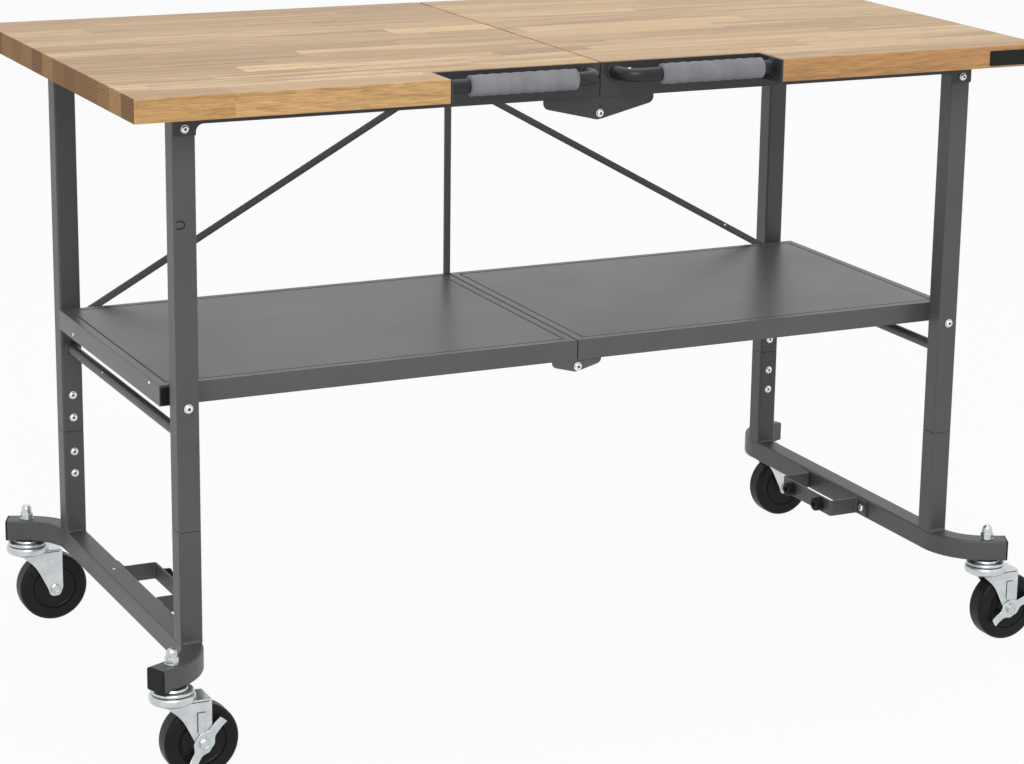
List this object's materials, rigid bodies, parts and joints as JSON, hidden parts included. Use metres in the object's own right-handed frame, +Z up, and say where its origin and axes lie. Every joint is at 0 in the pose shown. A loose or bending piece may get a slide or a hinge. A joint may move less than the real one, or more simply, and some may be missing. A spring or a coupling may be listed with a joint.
{
  "type": "folding workbench",
  "caption": "Mobile folding workbench with a split wooden top and steel shelf that fold up at the centre between leg frames on swivel casters, lifted by recessed handles.",
  "frame": {"origin": "on the floor, under the centre of the whole part's box", "axes": "+X along the bench to the right, +Y to the back, +Z up; the handles are at the front, -Y"},
  "size_m": [1.3624, 0.7022, 0.88],
  "materials": {
    "wood_top": "satin lacquered butcher block staves",
    "frame_paint": "fine textured charcoal powder coat",
    "rail_paint": "satin near-black powder coat",
    "shelf_paint": "fine textured dark grey powder coat",
    "grip_rubber": "matte ribbed grey rubber",
    "bumper_rubber": "matte black rubber",
    "wheel_tread": "smooth black hard rubber",
    "zinc_plate": "bright zinc plating"
  },
  "bodies": {
    "left_frame": {"upper_leg_front_left": "frame_paint", "upper_leg_rear_left": "frame_paint", "lower_frame_left": "frame_paint", "cross_tube_left": "frame_paint", "bumper_bracket_left": "frame_paint", "bumper_front_left": "bumper_rubber", "bumper_rear_left": "bumper_rubber", "top_pivot_front_left": "zinc_plate", "top_pivot_rear_left": "zinc_plate", "shelf_pivot_front_left": "zinc_plate", "shelf_pivot_rear_left": "zinc_plate", "caster_stem_front_left": "zinc_plate", "caster_stem_rear_left": "zinc_plate"},
    "right_frame": {"upper_leg_front_right": "frame_paint", "upper_leg_rear_right": "frame_paint", "lower_frame_right": "frame_paint", "cross_tube_right": "frame_paint", "bumper_bracket_right": "frame_paint", "bumper_front_right": "bumper_rubber", "bumper_rear_right": "bumper_rubber", "top_pivot_front_right": "zinc_plate", "top_pivot_rear_right": "zinc_plate", "shelf_pivot_front_right": "zinc_plate", "shelf_pivot_rear_right": "zinc_plate", "caster_stem_front_right": "zinc_plate", "caster_stem_rear_right": "zinc_plate"},
    "top_left": {"top_board_left": "wood_top", "front_rail_left": "rail_paint", "rear_rail_left": "rail_paint", "handle_left": "rail_paint", "grip_left": "grip_rubber", "top_pin_front": "zinc_plate", "top_pin_rear": "zinc_plate"},
    "top_right": {"top_board_right": "wood_top", "front_rail_right": "rail_paint", "rear_rail_right": "rail_paint", "handle_right": "rail_paint", "grip_right": "grip_rubber"},
    "shelf_half_left": {"shelf_left": "shelf_paint", "shelf_pin_front": "zinc_plate", "shelf_pin_rear": "zinc_plate"},
    "shelf_half_right": {"shelf_right": "shelf_paint"},
    "rod": {"link_rod": "frame_paint"},
    "collar": {"brace_collar": "frame_paint"},
    "rear_brace_left": {"brace_left": "frame_paint"},
    "rear_brace_right": {"brace_right": "frame_paint"},
    "caster_front_left": {"caster_fork_front_left": "zinc_plate", "caster_axle_front_left": "zinc_plate"},
    "wheel_front_left": {"caster_wheel_front_left": "wheel_tread"},
    "brake_front_left": {"brake_lever_front_left": "zinc_plate"},
    "caster_rear_left": {"caster_fork_rear_left": "zinc_plate", "caster_axle_rear_left": "zinc_plate"},
    "wheel_rear_left": {"caster_wheel_rear_left": "wheel_tread"},
    "caster_front_right": {"caster_fork_front_right": "zinc_plate", "caster_axle_front_right": "zinc_plate"},
    "wheel_front_right": {"caster_wheel_front_right": "wheel_tread"},
    "brake_front_right": {"brake_lever_front_right": "zinc_plate"},
    "caster_rear_right": {"caster_fork_rear_right": "zinc_plate", "caster_axle_rear_right": "zinc_plate"},
    "wheel_rear_right": {"caster_wheel_rear_right": "wheel_tread"}
  },
  "joints": [
    {"name": "fold", "type": "hinge", "parent": "left_frame", "child": "top_left", "pos_m": [-0.59623, 0, 0.828], "axis": [0, -1, 0], "range_deg": [0, 83.9]},
    {"name": "top_centre_fold", "type": "hinge", "parent": "top_left", "child": "top_right", "pos_m": [-0.02323, 0, 0.812], "axis": [0, 1, 0], "range_deg": [0, 167.8]},
    {"name": "right_frame_fold", "type": "hinge", "parent": "top_right", "child": "right_frame", "pos_m": [0.54977, 0, 0.828], "axis": [0, -1, 0], "range_deg": [0, 83.9]},
    {"name": "shelf_fold", "type": "hinge", "parent": "left_frame", "child": "shelf_half_left", "pos_m": [-0.59623, 0, 0.47], "axis": [0, -1, 0], "range_deg": [0, 83.9]},
    {"name": "shelf_centre_fold", "type": "hinge", "parent": "shelf_half_left", "child": "shelf_half_right", "pos_m": [-0.02323, 0, 0.454], "axis": [0, 1, 0], "range_deg": [0, 167.8]},
    {"name": "rod_swing", "type": "hinge", "parent": "top_left", "child": "rod", "pos_m": [-0.02323, 0, 0.812], "axis": [0, 1, 0], "range_deg": [0, 83.9]},
    {"name": "collar_slide", "type": "slide", "parent": "rod", "child": "collar", "axis": [0, 0, -1], "range_m": [0, 0.2503]},
    {"name": "brace_left_swing", "type": "hinge", "parent": "left_frame", "child": "rear_brace_left", "pos_m": [-0.59623, 0, 0.47], "axis": [0, -1, 0], "range_deg": [0, 54.4]},
    {"name": "brace_right_swing", "type": "hinge", "parent": "right_frame", "child": "rear_brace_right", "pos_m": [0.54977, 0, 0.47], "axis": [0, 1, 0], "range_deg": [0, 54.4]},
    {"name": "caster_swivel_front_left", "type": "hinge", "parent": "left_frame", "child": "caster_front_left", "pos_m": [-0.64369, -0.32108, 0.1], "axis": [0, 0, 1], "continuous": true},
    {"name": "wheel_spin_front_left", "type": "hinge", "parent": "caster_front_left", "child": "wheel_front_left", "pos_m": [-0.60969, -0.32108, 0.05], "axis": [0, 1, 0], "continuous": true},
    {"name": "brake_press_front_left", "type": "hinge", "parent": "caster_front_left", "child": "brake_front_left", "pos_m": [-0.60969, -0.32108, 0.05], "axis": [0, 1, 0], "range_deg": [0, 30]},
    {"name": "caster_swivel_rear_left", "type": "hinge", "parent": "left_frame", "child": "caster_rear_left", "pos_m": [-0.64369, 0.32108, 0.1], "axis": [0, 0, 1], "continuous": true},
    {"name": "wheel_spin_rear_left", "type": "hinge", "parent": "caster_rear_left", "child": "wheel_rear_left", "pos_m": [-0.60969, 0.32108, 0.05], "axis": [0, 1, 0], "continuous": true},
    {"name": "caster_swivel_front_right", "type": "hinge", "parent": "right_frame", "child": "caster_front_right", "pos_m": [0.59723, -0.32108, 0.1], "axis": [0, 0, 1], "continuous": true},
    {"name": "wheel_spin_front_right", "type": "hinge", "parent": "caster_front_right", "child": "wheel_front_right", "pos_m": [0.63123, -0.32108, 0.05], "axis": [0, 1, 0], "continuous": true},
    {"name": "brake_press_front_right", "type": "hinge", "parent": "caster_front_right", "child": "brake_front_right", "pos_m": [0.63123, -0.32108, 0.05], "axis": [0, 1, 0], "range_deg": [0, 30]},
    {"name": "caster_swivel_rear_right", "type": "hinge", "parent": "right_frame", "child": "caster_rear_right", "pos_m": [0.59723, 0.32108, 0.1], "axis": [0, 0, 1], "continuous": true},
    {"name": "wheel_spin_rear_right", "type": "hinge", "parent": "caster_rear_right", "child": "wheel_rear_right", "pos_m": [0.63123, 0.32108, 0.05], "axis": [0, 1, 0], "continuous": true}
  ],
  "couplings": [
    {"joint": "top_centre_fold", "follows": "fold", "ratio": 2},
    {"joint": "right_frame_fold", "follows": "fold", "ratio": 1},
    {"joint": "shelf_fold", "follows": "fold", "ratio": 1},
    {"joint": "shelf_centre_fold", "follows": "fold", "ratio": 2},
    {"joint": "rod_swing", "follows": "fold", "ratio": 1},
    {"joint": "collar_slide", "follows": "fold", "m_per_rad": 0.17087},
    {"joint": "brace_left_swing", "follows": "fold", "ratio": 0.6481},
    {"joint": "brace_right_swing", "follows": "fold", "ratio": 0.6481}
  ]
}
